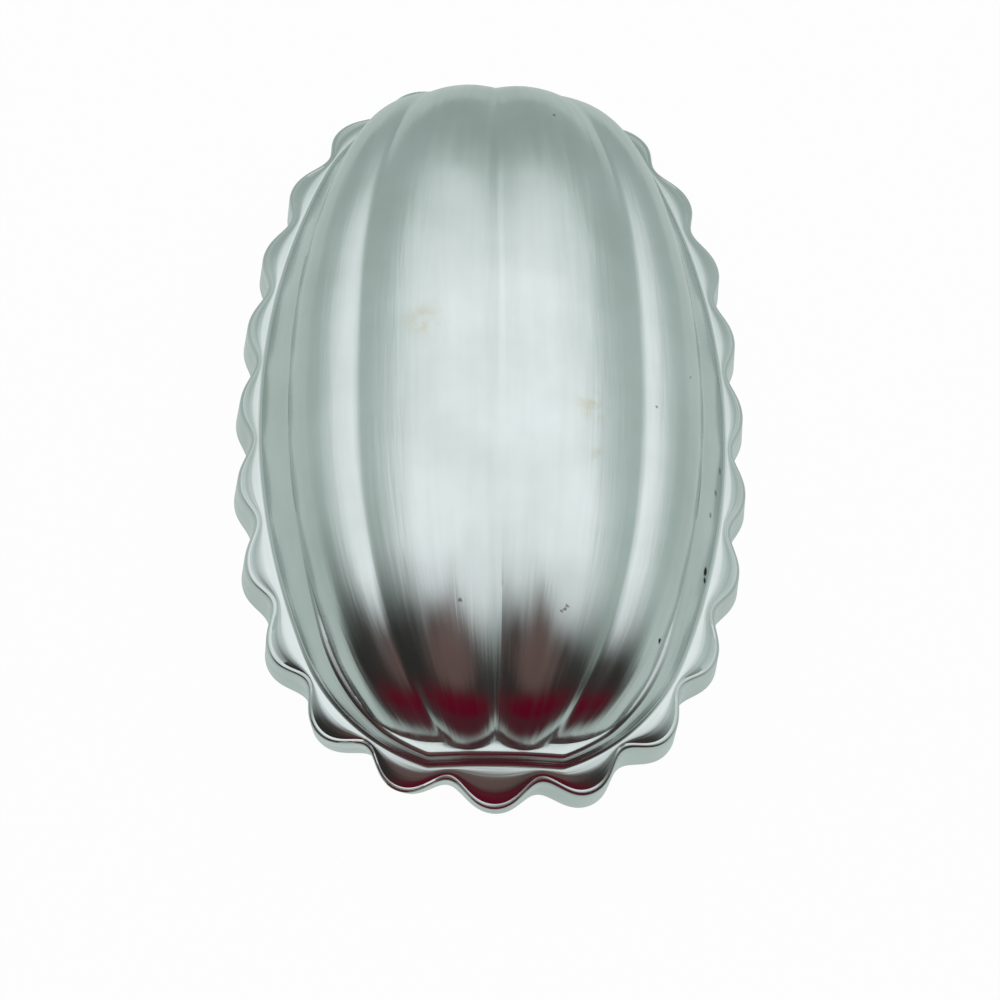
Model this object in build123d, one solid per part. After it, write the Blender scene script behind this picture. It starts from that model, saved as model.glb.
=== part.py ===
# Oval melon jelly mould, pressed from one sheet of aluminium.
# It stands on its rim with the dome up: X is its width, Y its length and Z is up.
# The origin is the middle of the footprint, level with the edge it stands on.
# All sizes are millimetres.
import os
from math import atan2, cos, exp, hypot, pi, radians, sin, sqrt

from build123d import *

sheet = 0.9

# Foot of the dome on the flange: a long arc on each side, an arc round to each end, and a flat end
foot_half_width = 56.6
foot_half_length = 91.9
foot_side_radius = 172.0
foot_shoulder_angle = 22.5
foot_flat_half_width = 15.3
foot_flat_hollow = 0.5
foot_corner_radius = 3.4
groove_radius = 0.9

# Flange round the foot and the skirt turned down from it. The scallops are counted from the far end.
flange_width_side = 4.0
flange_width_end = 6.7
rim_height = 13.0
rim_half_width = foot_half_width + flange_width_side
rim_half_length = foot_half_length + flange_width_end
rim_squareness = 2.39
rim_bend_radius = 1.6
scallops = 24
points_per_scallop = 4
scallop_depth_side = 1.6
scallop_depth_end = 2.5
scallop_sharpness = 0.10
skirt_flare_side = 1.85
skirt_flare_end = 0.3

# One place where the skirt has been pushed in by use
push_in = 3.4
push_in_scallop = 11.0
push_in_spread = 1.3

# Low band that runs round the dome just above the groove, and the ledge at each end
band_lean_in = 0.62
band_end_growth = 0.24
band_swell = 0.8
band_end_swell = 0.3
band_swell_height = 6.0
ledge_height = 4.3
ledge_edge = 0.6
band_top_middle = 13.5
band_depth = 0.6

# Four lobes over the band. Heights are measured from the flange.
crest_height = 34.0
ledge_depth = 4.6
crest_half_length = foot_half_length - ledge_depth
crest_squareness = 2.4
lobe_base = 3.7
fan_pull_in = 9.3
fan_half_length = crest_half_length - fan_pull_in
outer_lobe_width = 23.6
crease_x_middle = foot_half_width - outer_lobe_width
crease_x_end = 11.75
crease_pull_in = 1.3
crease_rise_middle = 0.783
crease_rise_end = 1.08
top_swell_middle = 0.115
top_swell_end = 0.17
side_swell_middle = 0.12
side_swell_end = 0.155
tuck_middle = 3.1
tuck_end = 5.3
tuck_growth = 1.3
fan_angles = [0, 15, 30, 44, 57, 68, 77, 84, 90]

# How far the inside's corners move in, as shares of the sheet
flat_shift = 0.3
crease_shift = 0.4


def blend(end, middle, share):
    """A value between the one at the ends and the one at the middle."""
    return end + (middle - end) * share


def signed_power(value, power):
    return abs(value) ** power * (1 if value > 0 else -1)


def rim_oval(count):
    """Points once round the smooth oval that the scallops follow, from the far end."""
    points = []
    for i in range(count + 1):
        turn = 2 * pi * i / count
        x = -rim_half_width * signed_power(sin(turn), 2 / rim_squareness)
        y = rim_half_length * signed_power(cos(turn), 2 / rim_squareness)
        points.append((x, y))
    return points


def rim_outline(flare, inset, z):
    """The scalloped outline at height z, with a share of the skirt's flare, one curve to a scallop."""
    count = 2400
    oval = rim_oval(count)
    run = [0.0]
    for p, q in zip(oval, oval[1:]):
        run.append(run[-1] + hypot(q[0] - p[0], q[1] - p[1]))
    total = scallops * points_per_scallop
    points = []
    k = 0
    for n in range(total):
        while run[k + 1] < run[-1] * n / total:
            k += 1
        before = oval[(k - 12) % count]
        after = oval[(k + 13) % count]
        size = hypot(after[0] - before[0], after[1] - before[1])
        out_x = (after[1] - before[1]) / size
        out_y = (before[0] - after[0]) / size
        place = n / points_per_scallop
        turn = 2 * pi * place
        middle_share = 0.5 - 0.5 * cos(4 * pi * place / scallops)
        wave = cos(turn) - scallop_sharpness * cos(2 * turn)
        out = blend(scallop_depth_end, scallop_depth_side, middle_share) * wave
        dent = push_in * exp(-(((place - push_in_scallop) / push_in_spread) ** 2))
        out += flare * (blend(skirt_flare_end, skirt_flare_side, middle_share) - dent)
        share = (run[-1] * n / total - run[k]) / (run[k + 1] - run[k])
        x = oval[k][0] + (oval[k + 1][0] - oval[k][0]) * share
        y = oval[k][1] + (oval[k + 1][1] - oval[k][1]) * share
        points.append(Vector(x + out_x * (out - inset), y + out_y * (out - inset), z))
    edges = []
    for n in range(0, total, points_per_scallop):
        scallop = [points[(n + k) % total] for k in range(points_per_scallop + 1)]
        start = scallop[1] - points[n - 1]
        finish = points[(n + points_per_scallop + 1) % total] - scallop[-2]
        edges.append(Edge.make_spline(scallop, [start, finish]))
    return Wire(edges)


def bend_steps(radius):
    """How far in and how far down a bend runs, in two flats that stand in for its curve."""
    short = radius * (1 - sqrt(0.5))
    return [(0, radius), (short, short), (radius, 0)]


def rim_block(inset):
    """The rim filled solid. With an inset it is the block that hollows the rim out."""
    top = rim_height - inset
    wires = [rim_outline((rim_height + inset) / rim_height, inset, -inset)]
    steps = bend_steps(rim_bend_radius - inset)
    if inset:
        steps = [steps[0], steps[-1]]
    for step_in, step_down in steps:
        wires.append(rim_outline(step_down / rim_height, inset + step_in, top - step_down))
    return Solid.make_loft(wires, True)


def foot_end_radius():
    """Radius of the arc that leaves the side arc smoothly and ends at the corner of the flat."""
    turn = radians(foot_shoulder_angle)
    x = foot_flat_half_width - foot_half_width + foot_side_radius * (1 - cos(turn))
    y = foot_half_length - foot_side_radius * sin(turn)
    return -(x ** 2 + y ** 2) / (2 * (x * cos(turn) + y * sin(turn)))


def foot_arcs(lift, swell):
    """Side radius, centre and radius of the end arc, at a height above the flange."""
    side = foot_side_radius - band_lean_in * lift + swell
    end = foot_end_radius() + band_end_growth * lift + band_end_swell * swell
    turn = radians(foot_shoulder_angle)
    side_x = foot_half_width - foot_side_radius
    return side, side_x + (side - end) * cos(turn), (side - end) * sin(turn), end


def foot_x(y):
    """Half width of the foot at a distance y from the middle."""
    side, end_x, end_y, end = foot_arcs(0, 0)
    if abs(y) < side * sin(radians(foot_shoulder_angle)):
        return foot_half_width - foot_side_radius + sqrt(side ** 2 - y ** 2)
    return end_x + sqrt(end ** 2 - (abs(y) - end_y) ** 2)


def band_outline(lift, swell, inset):
    """Outline of the low band at a height above the flange."""
    side, end_x, end_y, end = foot_arcs(lift, swell)
    side -= inset
    end -= inset
    side_x = foot_half_width - foot_side_radius
    turn = radians(foot_shoulder_angle)
    flat_x = foot_flat_half_width - flat_shift * inset
    flat_y = end_y + sqrt(end ** 2 - (flat_x - end_x) ** 2)
    half = (turn + atan2(flat_y - end_y, flat_x - end_x)) / 2
    shoulder = (side_x + side * cos(turn), side * sin(turn))
    across = (end_x + end * cos(half), end_y + end * sin(half))
    middle = (side_x + side, 0)

    def arc(*points):
        z = rim_height - inset + lift
        return Edge.make_three_point_arc(*[Vector(x, y, z) for x, y in points])

    def turned(*points):
        return [(-x, -y) for x, y in points]

    def front(point):
        return (point[0], -point[1])

    half_way = [
        arc(front((flat_x, flat_y)), front(across), front(shoulder)),
        arc(front(shoulder), middle, shoulder),
        arc(shoulder, across, (flat_x, flat_y)),
        arc((flat_x, flat_y), (0, flat_y - foot_flat_hollow), (-flat_x, flat_y)),
    ]
    other_half = [
        arc(*turned(front((flat_x, flat_y)), front(across), front(shoulder))),
        arc(*turned(front(shoulder), middle, shoulder)),
        arc(*turned(shoulder, across, (flat_x, flat_y))),
        arc(*turned((flat_x, flat_y), (0, flat_y - foot_flat_hollow), (-flat_x, flat_y))),
    ]
    face = Face(Wire(half_way + other_half))
    corners = face.vertices().sort_by(lambda v: abs(abs(v.X) - flat_x))[:4]
    return face.fillet_2d(foot_corner_radius - inset, corners).outer_wire()


def groove_ring(inset):
    """The fillet between the flange and the band."""
    radius = groove_radius + inset
    wires = [band_outline(-sheet / 4, 0, inset - radius)]
    for step_out, step_up in bend_steps(radius):
        wires.insert(1, band_outline(step_up, 0, inset - step_out))
    return Solid.make_loft(wires, True)


def band(inset):
    """The low band filled solid, arched on top so that it ends as a ledge at each end."""
    heights = [(-band_depth, 0), (band_swell_height, band_swell), (band_top_middle + sheet, 0)]
    block = Solid.make_loft([band_outline(lift, swell, inset) for lift, swell in heights], False)
    z = rim_height - inset
    left = Vector(0, -foot_half_length, z + ledge_height)
    right = Vector(0, foot_half_length, z + ledge_height)
    arch = Edge.make_three_point_arc(left, Vector(0, 0, z + band_top_middle), right)
    floor = [Vector(0, foot_half_length, 0), Vector(0, -foot_half_length, 0)]
    rest = Wire.make_polygon([right] + floor + [left], close=False)
    roof = extrude(Face(Wire([arch] + rest.edges())), foot_half_width * 1.2, Vector(1, 0, 0), both=True)
    block = (block & roof).solids()[0]
    edges = []
    for edge in block.faces().sort_by(Axis.Z)[-1].edges():
        middle = edge.center()
        if abs(middle.X) < foot_flat_half_width + foot_corner_radius and abs(middle.Y) > fan_half_length:
            edges.append(edge)
    return block.chamfer(ledge_edge, None, edges)


def lobe_section(angle, inset):
    """Outline across the four lobes, in a plane that swings over from one end to the other."""
    s = sin(radians(angle))
    c = max(cos(radians(angle)), 0.0)
    power = 2 / crest_squareness
    reach = signed_power(s, power)
    hinge_y = fan_half_length * reach
    base_z = rim_height + lobe_base - inset
    long_y = (crest_half_length - inset) * reach - hinge_y
    long_z = (crest_height - lobe_base) * c ** power
    up = Vector(0, long_y, long_z).normalized()

    def place(x, rise):
        return Vector(x, hinge_y + rise * long_y, base_z + rise * long_z)

    def arc(a, b, swell):
        chord = b - a
        out = Vector(-chord.dot(up), 0, 0) + up * chord.X
        middle = (a + b) * 0.5 + out.normalized() * (swell * chord.length)
        mirror = [Vector(-p.X, p.Y, p.Z) for p in (b, middle, a)]
        return Edge.make_three_point_arc(a, middle, b), Edge.make_three_point_arc(*mirror)

    crease_x = blend(crease_x_end, crease_x_middle, c ** crease_pull_in) - crease_shift * inset
    foot_tuck = blend(tuck_middle, tuck_end, abs(reach) ** tuck_growth) + inset
    crest = place(0, 1)
    crease = place(crease_x, blend(crease_rise_end, crease_rise_middle, c))
    foot = place(foot_x(hinge_y) - foot_tuck, 0)
    top, other_top = arc(crest, crease, blend(top_swell_end, top_swell_middle, c))
    side, other_side = arc(crease, foot, blend(side_swell_end, side_swell_middle, c))
    under = Edge.make_line(foot, Vector(-foot.X, foot.Y, foot.Z))
    return Wire([top, side, under, other_side, other_top])


def lobes(inset):
    """The four upper lobes filled solid."""
    angles = [-a for a in reversed(fan_angles[1:])] + fan_angles
    return Solid.make_loft([lobe_section(angle, inset) for angle in angles], False)


def filled_mould(inset):
    """The whole mould filled solid, smaller all round by the inset."""
    return rim_block(inset).fuse(groove_ring(inset)).fuse(band(inset)).fuse(lobes(inset))


def mould_shell():
    """The pressed sheet: the outside shape with the inside shape taken out."""
    return filled_mould(0) - filled_mould(sheet)


if __name__ == "__main__":
    os.makedirs("parts", exist_ok=True)
    export_step(mould_shell(), "parts/mould_shell.step")
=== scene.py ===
"""Oval melon jelly mould: the look of its pressed aluminium sheet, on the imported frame."""

import math

import bmesh
import bpy
import numpy as np
from bpy.props import FloatProperty, FloatVectorProperty, IntProperty, PointerProperty
from mathutils import Matrix, Vector, noise


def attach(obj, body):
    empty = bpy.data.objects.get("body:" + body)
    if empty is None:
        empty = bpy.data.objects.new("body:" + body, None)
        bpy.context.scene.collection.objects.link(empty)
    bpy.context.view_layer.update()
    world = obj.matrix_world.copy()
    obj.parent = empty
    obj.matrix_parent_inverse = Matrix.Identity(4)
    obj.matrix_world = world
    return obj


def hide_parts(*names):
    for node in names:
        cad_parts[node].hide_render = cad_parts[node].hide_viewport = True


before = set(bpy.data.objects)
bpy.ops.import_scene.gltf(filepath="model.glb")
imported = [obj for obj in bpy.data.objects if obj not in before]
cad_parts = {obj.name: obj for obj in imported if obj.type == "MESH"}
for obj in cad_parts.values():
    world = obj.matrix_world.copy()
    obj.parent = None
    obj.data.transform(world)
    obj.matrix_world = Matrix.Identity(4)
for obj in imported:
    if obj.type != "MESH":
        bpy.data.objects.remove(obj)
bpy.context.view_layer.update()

bl_info = {
    "name": "Melon jelly mould",
    "version": (1, 0, 0),
    "blender": (4, 5, 0),
    "location": "3D View > Sidebar > Jelly mould",
    "description": "Presses an aluminium jelly mould and lays the table it stands on",
    "category": "Add Mesh",
}

MM = 0.001

# Sizes of the solid, in millimetres, so that the sheet comes where the solid is
RIM_HEIGHT = 13.0
RIM_HALF_WIDTH = 60.6
RIM_HALF_LENGTH = 98.6
RIM_SQUARENESS = 2.39
SCALLOPS = 24
SCALLOP_DEPTH_SIDE = 1.6
SCALLOP_DEPTH_END = 2.5
SCALLOP_SHARPNESS = 0.10
SKIRT_FLARE_SIDE = 1.85
SKIRT_FLARE_END = 0.3
PUSH_IN = 3.4
PUSH_IN_SCALLOP = 11.0
PUSH_IN_SPREAD = 1.3
FOOT_HALF_WIDTH = 56.6
FOOT_HALF_LENGTH = 91.9
FOOT_SIDE_RADIUS = 172.0
FOOT_SHOULDER = math.radians(22.5)
FOOT_FLAT_HALF_WIDTH = 15.3
FOOT_FLAT_HOLLOW = 0.5
FOOT_CORNER = 3.4
BAND_DEPTH = 0.6
BAND_LEAN_IN = 0.62
BAND_END_GROWTH = 0.24
BAND_SWELL = 0.8
BAND_SWELL_HEIGHT = 6.0
BAND_END_SWELL = 0.3
BAND_TOP = 13.5
BAND_SPARE = 0.9
LEDGE_HEIGHT = 4.3
CREST_HEIGHT = 34.0
CREST_HALF_LENGTH = 87.3
CREST_SQUARENESS = 2.4
LOBE_BASE = 3.7
FAN_HALF_LENGTH = 78.0
CREASE_X_END, CREASE_X_MIDDLE = 11.75, 33.0
CREASE_RISE_END, CREASE_RISE_MIDDLE = 1.08, 0.783
CREASE_PULL_IN = 1.3
TOP_SWELL_END, TOP_SWELL_MIDDLE = 0.17, 0.115
SIDE_SWELL_END, SIDE_SWELL_MIDDLE = 0.155, 0.12
TUCK_END = 5.3
TUCK_GROWTH = 1.3

# Sizes that follow the photo more closely than the solid does, in millimetres. The slopes are
# shares of the flange's width, and the shoulder's reach and drop are shares of the side lobe's.
RIM_BEND = 1.3
FLANGE_SLOPE_SIDE, FLANGE_SLOPE_END = 0.35, 0.55
GROOVE = 0.8
LEDGE_START = 85.0
LEDGE_EDGE = 0.9
TUCK_MIDDLE = 6.2
SHOULDER_REACH = 0.56
SHOULDER_DROP = 0.38
SHOULDER_FALL = math.radians(8)
SHOULDER_LEAN = 0.08
SHOULDER_FADE = 0.35
FAR_CREST_RISE = 1.7
FAR_SWELL_LOSS = 0.11
FAR_POWER = 8

# How finely the shape is drawn: points on its outlines, rows of faces, and steps round its bends
OVAL_POINTS = 20001
ARC_POINTS, CORNER_POINTS, FLAT_POINTS = 200, 60, 100
CREST_POINTS = 8001
SKIRT_ROWS = 8
FLANGE_SHARES = (0.25, 0.5, 0.75)
BAND_ROWS = 8
BAND_LEVELS = 33
LEDGE_LEVEL = 12
LEDGE_SHARES = (0.98, 0.95, 0.9, 0.8, 0.7)
QUARTER_TURN = np.radians([0, 22.5, 45, 67.5, 90])
CREASE_WEIGHT = 6
FACING_REACH = 30
FACING_SMOOTHINGS = 3

# Points nearer than this are one, and faces lower than this close the mould, in millimetres
WELD = 0.005
CUT_EDGE = 0.01

# Length and width of the sheet in the rim, and width and length of the sheet in the lobes
RIM_SHEET, LOBE_SHEET = (560.0, 60.0), (130.0, 260.0)

# Dents of handling, 24 mm and 10.5 mm across: how many to the metre, and their shares of the depth
WIDE_DENTS, SMALL_DENTS = 42.0, 95.0
EVEN_SHARE, WIDE_SHARE, SMALL_SHARE = 0.5, 0.35, 0.15

# What stands round the mould for it to mirror: bearing and height angle of the middle, half
# sizes, both in radians, softness of the edge, and colour
SHADED_WALL = (0.0, 0.10), (0.85, 0.55), 0.5, "#9FABA7"
DARK_SCREEN = (-0.14, 0.38), (1.40, 1.06), 0.22, "#2E2C2A"
BROWN_SCREEN = (-0.15, 0.95), (0.75, 0.40), 0.5, "#66504D"
WINE_SCREEN = (0.0, 0.05), (0.74, 0.48), 0.3, "#5E0820"

# The dark and wine red screens as they lie on the table: bearing, and distance in metres
DARK_FLOOR = (-0.10, 0.50), (1.25, 0.385), 0.06, "#3A3836"
WINE_FLOOR = (0.0, 0.50), (0.75, 0.385), 0.06, "#4E0A1C"
FLOOR_REACH = 0.5

# The room's walls below and above, and the height angles between which they change, in radians
WALL_LOW, WALL_HIGH = "#B3BFBB", "#ECF0F1"
WALL_CHANGE = 0.38, 0.98

# The table's size in metres, its colour in the metal, and the share of white that no shadow takes
TABLE_SIZE = 6
TABLE_MIRRORED = "#CBD6D2"
TABLE_GLOW = 0.97

# The lamp above the far end, in metres
LAMP_PLACE = (0.0, 0.55, 0.85)
LAMP_SIZE = 1.6, 1.2

# The camera that the photo was taken with: the place it looks at in millimetres, its angles in
# degrees, its distance in metres, and its lens and sensor in millimetres
CAMERA_TARGET = (2.21, -19.57, 0)
CAMERA_SIDE, CAMERA_RISE, CAMERA_ROLL = -7.44, 64.04, 7.92
CAMERA_DISTANCE = 0.45
CAMERA_LENS, CAMERA_SENSOR = 65.47, 36

# Marks seen on the outside, as round spots: places and radii in millimetres
# Pits, sunk a little and rougher, whose near-black colour is painted shade inside them
SHADED_PITS = ((49.4, -44.6, 15.4, 1.2), (49.9, -46.8, 14.9, 1.1), (35.8, -67.1, 28.1, 0.8))
# Marks painted a darker greyish brown
DARK_MARKS = (
    (54.7, -18.0, 15.4, 1.3),
    (53.0, -24.7, 17.0, 1.1),
    (51.1, -31.4, 18.4, 0.9),
    (-48.2, 35.5, 24.7, 1.2),
    # These three in a row are the painted shade of a small dent
    (12.9, -65.8, 41.2, 0.5),
    (13.5, -65.2, 41.2, 0.5),
    (14.1, -64.6, 41.3, 0.5),
    (-9.2, -64.0, 41.9, 0.6),
    (-38.2, -43.5, 35.9, 0.5),
    (45.0, -3.5, 35.0, 0.5),
    (36.1, -14.1, 39.5, 0.5),
    (13.8, 67.7, 40.2, 0.6),
)
TARNISH = ((-18.0, 3.0, 47.0, 6.0), (20.5, -18.0, 46.5, 5.0), (21.0, -30.0, 45.0, 2.5))

# How soft the edges of the spots are, as shares of the radius
PIT_EDGE, DARK_MARK_EDGE, TARNISH_EDGE = 0.35, 0.6, 0.9

# How far those edges wander, in metres
WANDER = 0.0005

# How deep the bands of rubbing, the rub marks and the pits are drawn, in millimetres
WAVE_DEPTH, RUB_DEPTH, PIT_DEPTH = 0.12, 0.022, 0.2

# How much smoother and rougher than the satin the bands are, and how much rougher the pits
SMOOTHER, ROUGHER, PIT_ROUGHER = 0.05, 0.08, 0.4


def linear(code):
    """Linear colour of an sRGB hex code."""
    values = [int(code[i : i + 2], 16) / 255 for i in (1, 3, 5)]
    return tuple(v / 12.92 if v <= 0.04045 else ((v + 0.055) / 1.055) ** 2.4 for v in values)


def blend(end, middle, share):
    return end + (middle - end) * share


def signed_power(value, power):
    return np.sign(value) * np.abs(value) ** power


def length_along(line):
    """Length of a line from its start to each of its points."""
    return np.concatenate([[0], np.cumsum(np.linalg.norm(np.diff(line, axis=0), axis=1))])


def along(line, shares):
    """Points at the given shares of a line's length."""
    run = length_along(line)
    want = np.asarray(shares) * run[-1]
    return np.stack([np.interp(want, run, line[:, k]) for k in range(line.shape[1])], 1)


def outward(line):
    """Outward directions of a closed outline about the origin."""
    run = np.roll(line, -1, 0) - np.roll(line, 1, 0)
    out = np.stack([run[:, 1], -run[:, 0]], 1)
    out = out / np.linalg.norm(out, axis=1)[:, None]
    return out * np.sign((out * line).sum(1))[:, None]


def rim_oval(count):
    """The smooth oval that the scallops follow, leftward from the far end."""
    turn = np.linspace(0, 2 * math.pi, OVAL_POINTS)
    x = -RIM_HALF_WIDTH * signed_power(np.sin(turn), 2 / RIM_SQUARENESS)
    y = RIM_HALF_LENGTH * signed_power(np.cos(turn), 2 / RIM_SQUARENESS)
    return along(np.stack([x, y], 1), np.arange(count) / count)


def rim_outline(count, flare, inset):
    """The scalloped outline with a share of the skirt's flare, moved in by the inset."""
    oval = rim_oval(count)
    place = np.arange(count) * SCALLOPS / count
    turn = 2 * math.pi * place
    middle = 0.5 - 0.5 * np.cos(4 * math.pi * place / SCALLOPS)
    wave = np.cos(turn) - SCALLOP_SHARPNESS * np.cos(2 * turn)
    step = blend(SCALLOP_DEPTH_END, SCALLOP_DEPTH_SIDE, middle) * wave
    dent = PUSH_IN * np.exp(-(((place - PUSH_IN_SCALLOP) / PUSH_IN_SPREAD) ** 2))
    step = step + flare * (blend(SKIRT_FLARE_END, SKIRT_FLARE_SIDE, middle) - dent)
    return oval + outward(oval) * (step - inset)[:, None]


def foot_end_radius():
    """Radius of the foot's end arcs, which meet the side arcs and the flat end."""
    turn = FOOT_SHOULDER
    x = FOOT_FLAT_HALF_WIDTH - FOOT_HALF_WIDTH + FOOT_SIDE_RADIUS * (1 - math.cos(turn))
    y = FOOT_HALF_LENGTH - FOOT_SIDE_RADIUS * math.sin(turn)
    return -(x**2 + y**2) / (2 * (x * math.cos(turn) + y * math.sin(turn)))


def foot_x(y):
    """Half width of the dome's foot at a distance y from the middle."""
    side_x = FOOT_HALF_WIDTH - FOOT_SIDE_RADIUS
    reach = FOOT_SIDE_RADIUS - foot_end_radius()
    if abs(y) < FOOT_SIDE_RADIUS * math.sin(FOOT_SHOULDER):
        return side_x + math.sqrt(FOOT_SIDE_RADIUS**2 - y**2)
    rest = foot_end_radius() ** 2 - (abs(y) - reach * math.sin(FOOT_SHOULDER)) ** 2
    return side_x + reach * math.cos(FOOT_SHOULDER) + math.sqrt(rest)


def band_swell(lift):
    """How far the band stands out from its straight lean."""
    low, middle, high = -BAND_DEPTH, BAND_SWELL_HEIGHT, BAND_TOP + BAND_SPARE
    return BAND_SWELL * (lift - low) * (high - lift) / ((middle - low) * (high - middle))


def band_outline(lift, outset):
    """The band's closed outline at one height, leftward from the far end."""
    swell = band_swell(lift)
    side = FOOT_SIDE_RADIUS - BAND_LEAN_IN * lift + swell + outset
    end = foot_end_radius() + BAND_END_GROWTH * lift + swell * BAND_END_SWELL + outset
    side_x = FOOT_HALF_WIDTH - FOOT_SIDE_RADIUS
    end_x = side_x + (side - end) * math.cos(FOOT_SHOULDER)
    end_y = (side - end) * math.sin(FOOT_SHOULDER)
    flat_y = end_y + math.sqrt((end - outset) ** 2 - (FOOT_FLAT_HALF_WIDTH - end_x) ** 2) + outset
    corner = FOOT_CORNER + outset
    corner_y = flat_y - corner
    corner_x = end_x + math.sqrt((end - corner) ** 2 - (corner_y - end_y) ** 2)
    touch = math.atan2(corner_y - end_y, corner_x - end_x)
    quarter = []
    arcs = [
        (side_x, 0, side, 0, FOOT_SHOULDER, ARC_POINTS),
        (end_x, end_y, end, FOOT_SHOULDER, touch, ARC_POINTS),
        (corner_x, corner_y, corner, touch, math.pi / 2, CORNER_POINTS),
    ]
    for x, y, radius, start, finish, count in arcs:
        turn = np.linspace(start, finish, count)[:-1]
        quarter.append(np.stack([x + radius * np.cos(turn), y + radius * np.sin(turn)], 1))
    x = np.linspace(corner_x, 0, FLAT_POINTS)
    quarter.append(np.stack([x, flat_y - FOOT_FLAT_HOLLOW * (1 - (x / corner_x) ** 2)], 1))
    quarter = np.vstack(quarter)
    back = quarter[::-1]
    return np.vstack([back * (-1, 1), quarter * (-1, -1), back * (1, -1), quarter])


def roof(y):
    """Height of the band's top above the flange: arched, and level on the ledges."""
    rise = BAND_TOP - LEDGE_HEIGHT
    radius = (LEDGE_START**2 + rise**2) / (2 * rise)
    return BAND_TOP - radius + np.sqrt(radius**2 - np.minimum(np.abs(y), LEDGE_START) ** 2)


def facing_shares(count):
    """Where along the band's foot each point of the rim looks straight in."""
    oval = rim_oval(count)
    out = outward(oval)
    line = band_outline(0, GROOVE)
    run = length_along(line)
    shares = []
    for point, direction in zip(oval, out):
        gap = line - point
        aside = np.abs(gap[:, 0] * direction[1] - gap[:, 1] * direction[0])
        aside[np.linalg.norm(gap, axis=1) > FACING_REACH] = np.inf
        shares.append(run[np.argmin(aside)] / run[-1])
    shares = np.array(shares)
    shares[0] = 0
    smooth = shares.copy()
    for _ in range(FACING_SMOOTHINGS):
        smooth[1:-1] = (smooth[:-2] + 2 * smooth[1:-1] + smooth[2:]) / 4
    return smooth


def rim_rings(count):
    """Rings of the skirt, bend, flange, groove, band and ledge, from the cut edge up."""
    shares = facing_shares(count)
    rings = []

    def add(xy, z):
        rings.append(np.column_stack([xy, np.broadcast_to(z, count)]))

    for z in np.linspace(0, RIM_HEIGHT - RIM_BEND, SKIRT_ROWS):
        add(rim_outline(count, (RIM_HEIGHT - z) / RIM_HEIGHT, 0), z)
    for turn in QUARTER_TURN[1:]:
        down = RIM_BEND * (1 - math.sin(turn))
        inset = RIM_BEND * (1 - math.cos(turn))
        add(rim_outline(count, down / RIM_HEIGHT, inset), RIM_HEIGHT - down)
    edge = rings[-1][:, :2]
    foot = along(band_outline(0, GROOVE), shares)
    slope = blend(FLANGE_SLOPE_SIDE, FLANGE_SLOPE_END, np.abs(outward(rim_oval(count))[:, 1]))
    drop = slope * np.linalg.norm(edge - foot, axis=1)
    for ring in rings:
        ring[:, 2] -= drop * ring[:, 2] / RIM_HEIGHT
    for share in FLANGE_SHARES:
        add(edge * (1 - share) + foot * share, RIM_HEIGHT - drop * (1 - share) ** 2)
    for turn in QUARTER_TURN:
        lift = GROOVE * (1 - math.cos(turn))
        add(along(band_outline(lift, GROOVE * (1 - math.sin(turn))), shares), RIM_HEIGHT + lift)

    levels = np.linspace(GROOVE, BAND_TOP, BAND_LEVELS)
    stack = np.array([along(band_outline(level, 0), shares) for level in levels])

    def wall(lift):
        # Stops just short of the last level, so that there is always one above
        step = np.clip((lift - GROOVE) / (levels[1] - GROOVE), 0, BAND_LEVELS - 1.001)
        low = step.astype(int)
        part = (step - low)[:, None]
        each = np.arange(count)
        return stack[low, each] * (1 - part) + stack[low + 1, each] * part

    top = roof(stack[LEDGE_LEVEL][:, 1]) - LEDGE_EDGE
    for share in np.linspace(0, 1, BAND_ROWS)[1:]:
        lift = GROOVE + (top - GROOVE) * share
        add(wall(lift), RIM_HEIGHT + lift)
    for turn in QUARTER_TURN[1:]:
        lift = top + LEDGE_EDGE * math.sin(turn)
        xy = wall(lift)
        add(xy - outward(xy) * LEDGE_EDGE * (1 - math.cos(turn)), RIM_HEIGHT + lift)
    edge = rings[-1][:, :2]
    for share in LEDGE_SHARES:
        add(edge * share, RIM_HEIGHT + roof(edge[:, 1] * share))
    return np.array(rings)


def shoulder(crease, foot, count):
    """A line that leaves the crease nearly level and comes down nearly upright on the foot."""
    length = np.linalg.norm(foot - crease)
    fall = np.array([math.cos(SHOULDER_FALL), -math.sin(SHOULDER_FALL)])
    first = crease + SHOULDER_REACH * length * fall
    second = foot + SHOULDER_DROP * length * np.array([-SHOULDER_LEAN, 1.0])
    t = np.linspace(0, 1, count + 1)[:, None]
    ends = (1 - t) ** 3 * crease + t**3 * foot
    return ends + 3 * t * (1 - t) * ((1 - t) * first + t * second)


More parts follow.
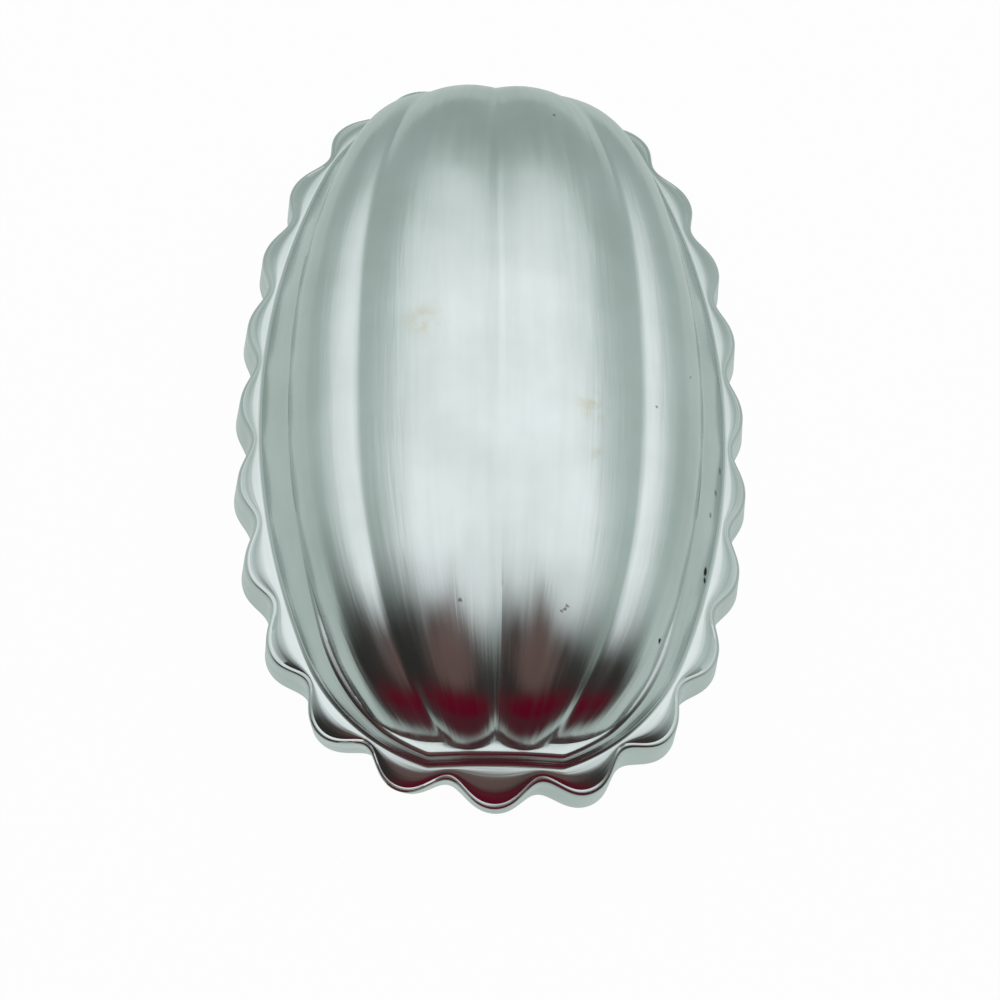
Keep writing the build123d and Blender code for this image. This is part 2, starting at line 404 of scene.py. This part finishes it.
def lobe_section(c, s, across):
    """Points across the four lobes, from the left foot to the right, in one plane of the fan.

    The plane leans from the upright by an angle with cosine c and sine s.
    """
    reach = float(signed_power(s, 2 / CREST_SQUARENESS))
    hinge = FAN_HALF_LENGTH * reach
    long_y = CREST_HALF_LENGTH * reach - hinge
    long_z = (CREST_HEIGHT - LOBE_BASE) * c ** (2 / CREST_SQUARENESS)
    size = math.hypot(long_y, long_z)

    def arc(a, b, swell):
        chord = b - a
        length = np.linalg.norm(chord)
        out = np.array([-chord[1], chord[0]]) / length
        sag = swell * length
        radius = (length**2 / 4 + sag**2) / (2 * sag)
        centre = (a + b) / 2 - out * (radius - sag)
        start = math.atan2(*(a - centre)[::-1])
        turn = math.atan2(*(b - centre)[::-1]) - start
        turn = (turn + math.pi) % (2 * math.pi) - math.pi
        angle = start + turn * np.linspace(0, 1, across // 4 + 1)
        return centre + radius * np.stack([np.cos(angle), np.sin(angle)], 1)

    crease_x = blend(CREASE_X_END, CREASE_X_MIDDLE, c**CREASE_PULL_IN)
    far = max(s, 0) ** FAR_POWER
    crest = np.array([0, size + FAR_CREST_RISE * far])
    crease = np.array([crease_x, size * blend(CREASE_RISE_END, CREASE_RISE_MIDDLE, c)])
    foot = np.array([foot_x(hinge) - blend(TUCK_MIDDLE, TUCK_END, abs(reach) ** TUCK_GROWTH), 0])
    top = arc(crest, crease, blend(TOP_SWELL_END, TOP_SWELL_MIDDLE, c) - FAR_SWELL_LOSS * far)
    side = arc(crease, foot, blend(SIDE_SWELL_END, SIDE_SWELL_MIDDLE, c))
    side = blend(side, shoulder(crease, foot, across // 4), c**SHOULDER_FADE)
    half = np.vstack([top, side[1:]])
    line = np.vstack([(half * (-1, 1))[::-1], half[1:]])
    eased = line.copy()
    for at in (across // 4, across // 2, across - across // 4):
        beside = line[at - 1] + CREASE_WEIGHT * line[at] + line[at + 1]
        eased[at] = beside / (CREASE_WEIGHT + 2)
    rise = eased[:, 1] / size
    base = RIM_HEIGHT + LOBE_BASE
    return np.stack([eased[:, 0], hinge + rise * long_y, base + rise * long_z], 1)


def lobe_rows(count, across):
    """Sections of the lobes, even along the crest."""
    turn = np.linspace(-math.pi / 2, math.pi / 2, CREST_POINTS)
    power = 2 / CREST_SQUARENESS
    cosine = np.clip(np.cos(turn), 0, 1)
    y = CREST_HALF_LENGTH * signed_power(np.sin(turn), power)
    z = (CREST_HEIGHT - LOBE_BASE) * cosine**power
    run = np.concatenate([[0], np.cumsum(np.hypot(np.diff(y), np.diff(z)))])
    picked = np.interp(np.linspace(0, run[-1], count + 1), run, turn)
    return np.array([lobe_section(max(math.cos(a), 0.0), math.sin(a), across) for a in picked])


def nothing_selected():
    bpy.ops.object.select_all(action="DESELECT")


def only(obj):
    nothing_selected()
    obj.select_set(True)
    bpy.context.view_layer.objects.active = obj


def modify(obj, kind, **settings):
    """Adds a modifier with its settings and applies it."""
    only(obj)
    mod = obj.modifiers.new(kind.title(), kind)
    for key, value in settings.items():
        setattr(mod, key, value)
    bpy.ops.object.modifier_apply(modifier=mod.name)


def pressed_grid(points, sheet, rubbed_round=False):
    """A flat grid pressed onto rows of points, with its seam closed and its open ends filled.

    Its UV map has the real width and length of the sheet, with the length the way it is rubbed.
    """
    rows, columns = points.shape[0] - 1, points.shape[1] - 1
    nothing_selected()
    bpy.ops.mesh.primitive_grid_add(x_subdivisions=columns, y_subdivisions=rows, size=2)
    blank = bpy.context.object
    mesh = blank.data
    co = np.zeros(len(mesh.vertices) * 3)
    mesh.vertices.foreach_get("co", co)
    co = co.reshape(-1, 3)
    column = np.rint((co[:, 0] + 1) / 2 * columns).astype(int)
    row = np.rint((co[:, 1] + 1) / 2 * rows).astype(int)
    mesh.vertices.foreach_set("co", (points[row, column] * MM).ravel())
    uv = np.zeros(len(mesh.loops) * 2)
    mesh.uv_layers[0].data.foreach_get("uv", uv)
    uv = uv.reshape(-1, 2) * sheet * MM
    mesh.uv_layers[0].data.foreach_set("uv", (uv[:, ::-1] if rubbed_round else uv).ravel())
    mesh.uv_layers[0].name = "sheet"
    mesh.update()
    bpy.ops.object.mode_set(mode="EDIT")
    bpy.ops.mesh.select_all(action="SELECT")
    bpy.ops.mesh.remove_doubles(threshold=WELD * MM)
    bpy.ops.mesh.select_all(action="SELECT")
    bpy.ops.mesh.fill_holes(sides=0)
    bpy.ops.mesh.select_all(action="SELECT")
    bpy.ops.mesh.normals_make_consistent(inside=False)
    bpy.ops.object.mode_set(mode="OBJECT")
    return blank


def rim_blank(count):
    """The skirt, flange, groove, band and ledge."""
    rings = rim_rings(count)
    closed = np.concatenate([rings, rings[:, :1]], axis=1)
    return pressed_grid(closed, RIM_SHEET, rubbed_round=True)


def lobe_blank(rows, across):
    """The four lobes."""
    return pressed_grid(lobe_rows(rows, across), LOBE_SHEET)


def open_underneath(obj):
    """Takes away the flat face that closed the mould at its cut edge."""
    only(obj)
    bpy.ops.object.mode_set(mode="EDIT")
    bpy.ops.mesh.select_mode(type="FACE")
    bpy.ops.mesh.select_all(action="DESELECT")
    mesh = bmesh.from_edit_mesh(obj.data)
    for face in mesh.faces:
        face.select_set(all(vert.co.z < CUT_EDGE * MM for vert in face.verts))
    bmesh.update_edit_mesh(obj.data)
    bpy.ops.mesh.delete(type="FACE")
    bpy.ops.object.mode_set(mode="OBJECT")


def handled(obj, depth):
    """Presses the sheet in a little here and there, as years of handling do."""
    mesh = obj.data
    normals = [Vector(normal.vector) for normal in mesh.vertex_normals]
    places = [vert.co.copy() for vert in mesh.vertices]
    for k, (place, normal) in enumerate(zip(places, normals)):
        wide = noise.noise(place * WIDE_DENTS)
        small = noise.noise(place * SMALL_DENTS + Vector((7, 3, 5)))
        pressed = EVEN_SHARE + WIDE_SHARE * wide + SMALL_SHARE * small
        places[k] = place - normal * depth * pressed
    mesh.vertices.foreach_set("co", np.array(places).ravel())
    mesh.update()


def stand_on_table(obj):
    """Levels the cut edge where its thickness went below the table."""
    mesh = obj.data
    co = np.zeros(len(mesh.vertices) * 3)
    mesh.vertices.foreach_get("co", co)
    co = co.reshape(-1, 3)
    co[:, 2] = np.maximum(co[:, 2], 0)
    mesh.vertices.foreach_set("co", co.ravel())
    mesh.update()


class MouldSheet(bpy.types.PropertyGroup):
    thickness: FloatProperty(
        name="Thickness",
        description="Thickness of the aluminium sheet",
        default=0.9 * MM,
        unit="LENGTH",
    )
    unevenness: FloatProperty(
        name="Unevenness",
        description="How deep handling has pressed the sheet",
        default=0.2 * MM,
        unit="LENGTH",
    )
    rim_points: IntProperty(
        name="Rim points", description="Points round the rim", default=720, min=240
    )
    lobe_rows: IntProperty(
        name="Lobe rows", description="Rows of faces along the lobes", default=130, min=40
    )
    lobe_columns: IntProperty(
        name="Lobe columns", description="Faces across the four lobes", default=144, min=16
    )
    metal: FloatVectorProperty(
        name="Metal",
        description="Colour of the aluminium",
        default=linear("#D2D8D7"),
        subtype="COLOR",
        size=3,
    )
    dull: FloatVectorProperty(
        name="Dull metal",
        description="Colour where it has dulled",
        default=linear("#BFC7C4"),
        subtype="COLOR",
        size=3,
    )
    roughness: FloatProperty(
        name="Roughness", description="How satin the finish is", default=0.2, min=0, max=1
    )


class MouldStage(bpy.types.PropertyGroup):
    table: FloatVectorProperty(
        name="Table",
        description="Colour of the table",
        default=linear("#F4F5F5"),
        subtype="COLOR",
        size=3,
    )
    lamp: FloatProperty(
        name="Lamp", description="Power of the overhead lamp", default=1.0, unit="POWER"
    )
    room: FloatProperty(name="Room", description="How bright the room is", default=1.2, min=0)


def node(tree, kind, inputs=None, **settings):
    """Adds a node with its settings, and its inputs as values or links."""
    made = tree.nodes.new(kind)
    for key, value in settings.items():
        setattr(made, key, value)
    for key, value in (inputs or {}).items():
        if isinstance(value, bpy.types.NodeSocket):
            tree.links.new(value, made.inputs[key])
        else:
            made.inputs[key].default_value = value
    return made


def spotted(tree, place, spots, soft):
    """Share that is 1 on any of the round spots, with edges as soft as a share of the radius."""
    share = None
    for x, y, z, radius in spots:
        inputs = {0: place, 1: (x * MM, y * MM, z * MM)}
        away = node(tree, "ShaderNodeVectorMath", inputs, operation="DISTANCE").outputs["Value"]
        edges = {"Value": away, "From Min": radius * MM, "From Max": radius * MM * (1 - soft)}
        spot = node(tree, "ShaderNodeMapRange", edges).outputs[0]
        if share is not None:
            spot = node(tree, "ShaderNodeMath", {0: share, 1: spot}, operation="MAXIMUM").outputs[0]
        share = spot
    return share


def satin_pressed_aluminium(sheet):
    """Bare aluminium sheet, pressed, rubbed lengthwise to a satin, and dulled by washing.

    Its highlights are long and soft, with a fine grain along the mould.
    """
    mat = bpy.data.materials.new("satin_pressed_aluminium")
    mat.use_nodes = True
    tree = mat.node_tree
    shader = tree.nodes["Principled BSDF"]
    shader.inputs["Metallic"].default_value = 1.0
    place = node(tree, "ShaderNodeTexCoord").outputs["Object"]
    on_sheet = node(tree, "ShaderNodeUVMap", uv_map="sheet").outputs["UV"]
    # Rub marks 1.2 mm apart and 35 mm long, with finer ones among them, drawn coarser than the
    # real ones so that they show
    narrow = {"Vector": on_sheet, "Scale": (1 / 0.0012, 1 / 0.035, 1)}
    narrow = node(tree, "ShaderNodeMapping", narrow).outputs[0]
    rubbed = {"Vector": narrow, "Scale": 1.0, "Detail": 4.0}
    rubbed = node(tree, "ShaderNodeTexNoise", rubbed).outputs[0]
    # Bands of rubbing 3.5 mm wide and 70 mm long
    broad = {"Vector": on_sheet, "Scale": (1 / 0.0035, 1 / 0.07, 1)}
    broad = node(tree, "ShaderNodeMapping", broad).outputs[0]
    bands = {"Vector": broad, "Scale": 1.0, "Detail": 3.0}
    bands = node(tree, "ShaderNodeTexNoise", bands).outputs[0]
    # Clouds of dulling 25 mm across
    clouds = {"Vector": place, "Scale": 40.0, "Detail": 4.0}
    clouds = node(tree, "ShaderNodeTexNoise", clouds).outputs[0]
    dulled = {"Value": clouds, "From Min": 0.35, "From Max": 0.85}
    dulled = node(tree, "ShaderNodeMapRange", dulled).outputs[0]
    # The edges of spots wander by up to 0.5 mm, in steps 1.1 mm across
    ragged = {"Vector": place, "Scale": 900.0, "Detail": 2.0}
    ragged = node(tree, "ShaderNodeTexNoise", ragged).outputs["Color"]
    wandered = {0: ragged, 1: (2 * WANDER,) * 3, 2: place}
    wandered = node(tree, "ShaderNodeVectorMath", wandered, operation="MULTIPLY_ADD").outputs[0]
    centred = {0: wandered, 1: (WANDER,) * 3}
    ragged_place = node(tree, "ShaderNodeVectorMath", centred, operation="SUBTRACT").outputs[0]
    shaded_pits = spotted(tree, ragged_place, SHADED_PITS, PIT_EDGE)
    # Tarnish comes in flecks 3 mm across
    flecks = {"Vector": place, "Scale": 330.0, "Detail": 3.0}
    flecks = node(tree, "ShaderNodeTexNoise", flecks).outputs[0]
    flecked = {"Value": flecks, "From Min": 0.4, "From Max": 0.65}
    flecked = node(tree, "ShaderNodeMapRange", flecked).outputs[0]
    tarnish = {0: spotted(tree, ragged_place, TARNISH, TARNISH_EDGE), 1: flecked}
    tarnished = node(tree, "ShaderNodeMath", tarnish, operation="MULTIPLY").outputs[0]
    # Each layer's share of the surface, its colour, and how strong it gets
    layers = (
        (dulled, sheet.dull, 1.0),
        (tarnished, linear("#C2B596"), 0.55),
        # Darker greyish brown marks, three of which are the painted shade of a small dent
        (spotted(tree, ragged_place, DARK_MARKS, DARK_MARK_EDGE), linear("#6E655A"), 0.8),
        # The pits' near-black colour is painted shade inside them
        (shaded_pits, linear("#17191A"), 1.0),
    )
    colour = (*sheet.metal, 1)
    for share, over, most in layers:
        part = node(tree, "ShaderNodeMath", {0: share, 1: most}, operation="MULTIPLY").outputs[0]
        mixed = {"Factor": part, "A": colour, "B": (*over, 1)}
        colour = node(tree, "ShaderNodeMix", mixed, data_type="RGBA").outputs["Result"]
    tree.links.new(colour, shader.inputs["Base Color"])
    satin = {
        "Value": bands,
        "From Min": 0.3,
        "From Max": 0.7,
        "To Min": sheet.roughness - SMOOTHER,
        "To Max": sheet.roughness + ROUGHER,
    }
    rough = node(tree, "ShaderNodeMapRange", satin).outputs[0]
    roughened = {0: shaded_pits, 1: PIT_ROUGHER, 2: rough}
    rougher = node(tree, "ShaderNodeMath", roughened, operation="MULTIPLY_ADD").outputs[0]
    tree.links.new(rougher, shader.inputs["Roughness"])
    waved = {"Height": bands, "Strength": 1.0, "Distance": WAVE_DEPTH * MM}
    waves = node(tree, "ShaderNodeBump", waved).outputs[0]
    scored = {"Height": rubbed, "Strength": 1.0, "Distance": RUB_DEPTH * MM, "Normal": waves}
    marks = node(tree, "ShaderNodeBump", scored).outputs[0]
    sunk = {"Height": shaded_pits, "Strength": 1.0, "Distance": PIT_DEPTH * MM, "Normal": marks}
    eaten = node(tree, "ShaderNodeBump", sunk, invert=True).outputs[0]
    tree.links.new(eaten, shader.inputs["Normal"])
    return mat


class MOULD_OT_sheet(bpy.types.Operator):
    """Press the mould from one sheet and give it its finish"""

    bl_idname = "mould.sheet"
    bl_label = "Press the sheet"

    def execute(self, context):
        sheet = context.scene.mould_sheet
        body = rim_blank(sheet.rim_points)
        lobes = lobe_blank(sheet.lobe_rows, sheet.lobe_columns)
        modify(body, "BOOLEAN", operation="UNION", solver="EXACT", object=lobes)
        bpy.data.objects.remove(lobes)
        open_underneath(body)
        handled(body, sheet.unevenness)
        modify(body, "SOLIDIFY", thickness=sheet.thickness, offset=-1.0, use_quality_normals=True)
        stand_on_table(body)
        only(body)
        bpy.ops.object.shade_smooth_by_angle(angle=math.radians(30))
        body.name = body.data.name = "mould_sheet"
        body.data.materials.clear()
        body.data.materials.append(satin_pressed_aluminium(sheet))
        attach(body, "root")
        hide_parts("mould_shell")
        return {"FINISHED"}


def bearing(tree, vector, end):
    """Bearing of a direction from the mould's far end (1) or from its near end (-1)."""
    parts = node(tree, "ShaderNodeSeparateXYZ", {0: vector}).outputs
    ahead = node(tree, "ShaderNodeMath", {0: parts[1], 1: end}, operation="MULTIPLY").outputs[0]
    return node(tree, "ShaderNodeMath", {0: parts[0], 1: ahead}, operation="ARCTAN2").outputs[0]


def patched(tree, colour, places, patch):
    """Lays an oval patch of another colour, with a soft edge, over a colour."""
    centre, half, edge, code = patch
    pair = {2: 0.0}
    for k, place in enumerate(places):
        inputs = {"Value": place, "From Min": centre[k], "From Max": centre[k] + half[k]}
        pair[k] = node(tree, "ShaderNodeMapRange", inputs, clamp=False).outputs[0]
    away = node(tree, "ShaderNodeCombineXYZ", pair).outputs[0]
    reach = node(tree, "ShaderNodeVectorMath", {0: away}, operation="LENGTH").outputs["Value"]
    soft = {"Value": reach, "From Min": 1 + edge, "From Max": 1 - edge}
    share = node(tree, "ShaderNodeMapRange", soft, interpolation_type="SMOOTHSTEP").outputs[0]
    over = {"Factor": share, "A": colour, "B": (*linear(code), 1)}
    return node(tree, "ShaderNodeMix", over, data_type="RGBA").outputs["Result"]


def pale_room(strength):
    """A pale room, brighter overhead, with dark, brown and wine red screens at the near end.

    The camera sees it as plain white.
    """
    world = bpy.data.worlds.new("pale_room")
    world.use_nodes = True
    tree = world.node_tree
    direction = node(tree, "ShaderNodeTexCoord").outputs["Generated"]
    upright = node(tree, "ShaderNodeSeparateXYZ", {0: direction}).outputs[2]
    height = node(tree, "ShaderNodeMath", {0: upright}, operation="ARCSINE").outputs[0]
    rise = {"Value": height, "From Min": WALL_CHANGE[0], "From Max": WALL_CHANGE[1]}
    rise = node(tree, "ShaderNodeMapRange", rise).outputs[0]
    walls = {"Factor": rise, "A": (*linear(WALL_LOW), 1), "B": (*linear(WALL_HIGH), 1)}
    colour = node(tree, "ShaderNodeMix", walls, data_type="RGBA").outputs["Result"]
    colour = patched(tree, colour, (bearing(tree, direction, 1.0), height), SHADED_WALL)
    near = bearing(tree, direction, -1.0)
    for patch in (DARK_SCREEN, BROWN_SCREEN, WINE_SCREEN):
        colour = patched(tree, colour, (near, height), patch)
    room = node(tree, "ShaderNodeBackground", {"Color": colour, "Strength": strength})
    white = node(tree, "ShaderNodeBackground", {"Color": (1, 1, 1, 1), "Strength": 1.0})
    seen = node(tree, "ShaderNodeLightPath")
    shown = {0: seen.outputs["Is Camera Ray"], 1: room.outputs[0], 2: white.outputs[0]}
    either = node(tree, "ShaderNodeMixShader", shown)
    tree.links.new(either.outputs[0], tree.nodes["World Output"].inputs["Surface"])
    return world


def white_table(colour):
    """A matt table, white to the camera but for a trace of the mould's shadow.

    The metal mirrors it as a pale grey, dark and wine red in front of the near end.
    """
    nothing_selected()
    bpy.ops.mesh.primitive_plane_add(size=TABLE_SIZE)
    made = bpy.context.object
    made.name = "table"
    mat = bpy.data.materials.new("matt_white_table")
    mat.use_nodes = True
    tree = mat.node_tree
    shader = tree.nodes["Principled BSDF"]
    shader.inputs["Base Color"].default_value = (*colour, 1)
    shader.inputs["Roughness"].default_value = 0.9
    place = node(tree, "ShaderNodeTexCoord").outputs["Object"]
    length = node(tree, "ShaderNodeVectorMath", {0: place}, operation="LENGTH").outputs["Value"]
    reach = {0: length, 1: FLOOR_REACH}
    distance = node(tree, "ShaderNodeMath", reach, operation="MINIMUM").outputs[0]
    mirrored = (*linear(TABLE_MIRRORED), 1)
    places = bearing(tree, place, -1.0), distance
    for patch in (DARK_FLOOR, WINE_FLOOR):
        mirrored = patched(tree, mirrored, places, patch)
    seen = node(tree, "ShaderNodeLightPath").outputs
    shown = {"Factor": seen["Is Camera Ray"], "A": mirrored, "B": (1, 1, 1, 1)}
    shown = node(tree, "ShaderNodeMix", shown, data_type="RGBA").outputs["Result"]
    glow = node(tree, "ShaderNodeEmission", {"Color": shown, "Strength": 1.0}).outputs[0]
    either = {0: seen["Is Camera Ray"], 1: seen["Is Glossy Ray"]}
    either = node(tree, "ShaderNodeMath", either, operation="ADD").outputs[0]
    lit = {0: either, 1: TABLE_GLOW}
    share = node(tree, "ShaderNodeMath", lit, operation="MULTIPLY").outputs[0]
    both = node(tree, "ShaderNodeMixShader", {0: share, 1: shader.outputs[0], 2: glow})
    tree.links.new(both.outputs[0], tree.nodes["Material Output"].inputs["Surface"])
    made.data.materials.append(mat)


def photo_camera():
    """The camera that the photo was taken with."""
    side, rise, roll = (math.radians(turn) for turn in (CAMERA_SIDE, CAMERA_RISE, CAMERA_ROLL))
    target = Vector(CAMERA_TARGET) * MM
    flat = math.cos(rise)
    away = Vector((math.sin(side) * flat, -math.cos(side) * flat, math.sin(rise)))
    level = (-away).cross(Vector((0, 0, 1))).normalized()
    up = level.cross(-away)
    right = level * math.cos(roll) + up * math.sin(roll)
    top = up * math.cos(roll) - level * math.sin(roll)
    lens = bpy.data.cameras.new("camera")
    lens.sensor_width = CAMERA_SENSOR
    lens.lens = CAMERA_LENS
    made = bpy.data.objects.new("camera", lens)
    bpy.context.scene.collection.objects.link(made)
    placed = Matrix((right, top, away)).transposed().to_4x4()
    placed.translation = target + away * CAMERA_DISTANCE
    made.matrix_world = placed
    bpy.context.scene.camera = made


class MOULD_OT_stage(bpy.types.Operator):
    """Lay the table, and set the room, the lamp and the camera round it"""

    bl_idname = "mould.stage"
    bl_label = "Lay the table"

    def execute(self, context):
        stage = context.scene.mould_stage
        white_table(stage.table)
        context.scene.world = pale_room(stage.room)
        light = bpy.data.lights.new("overhead_lamp", "AREA")
        light.shape = "RECTANGLE"
        light.size, light.size_y = LAMP_SIZE
        light.energy = stage.lamp
        lamp = bpy.data.objects.new("overhead_lamp", light)
        lamp.location = LAMP_PLACE
        context.scene.collection.objects.link(lamp)
        photo_camera()
        context.scene.view_settings.view_transform = "Standard"
        return {"FINISHED"}


class MOULD_PT_panel(bpy.types.Panel):
    bl_idname = "MOULD_PT_panel"
    bl_label = "Jelly mould"
    bl_space_type = "VIEW_3D"
    bl_region_type = "UI"
    bl_category = "Jelly mould"

    def draw(self, context):
        for group in (context.scene.mould_sheet, context.scene.mould_stage):
            for name in group.__annotations__:
                self.layout.prop(group, name)
        self.layout.operator("mould.sheet")
        self.layout.operator("mould.stage")


CLASSES = (MouldSheet, MouldStage, MOULD_OT_sheet, MOULD_OT_stage, MOULD_PT_panel)


def register():
    for cls in CLASSES:
        bpy.utils.register_class(cls)
    bpy.types.Scene.mould_sheet = PointerProperty(type=MouldSheet)
    bpy.types.Scene.mould_stage = PointerProperty(type=MouldStage)


def unregister():
    del bpy.types.Scene.mould_stage
    del bpy.types.Scene.mould_sheet
    for cls in reversed(CLASSES):
        bpy.utils.unregister_class(cls)


def main():
    register()
    bpy.ops.mould.sheet()
    bpy.ops.mould.stage()


if __name__ == "__main__":
    main()
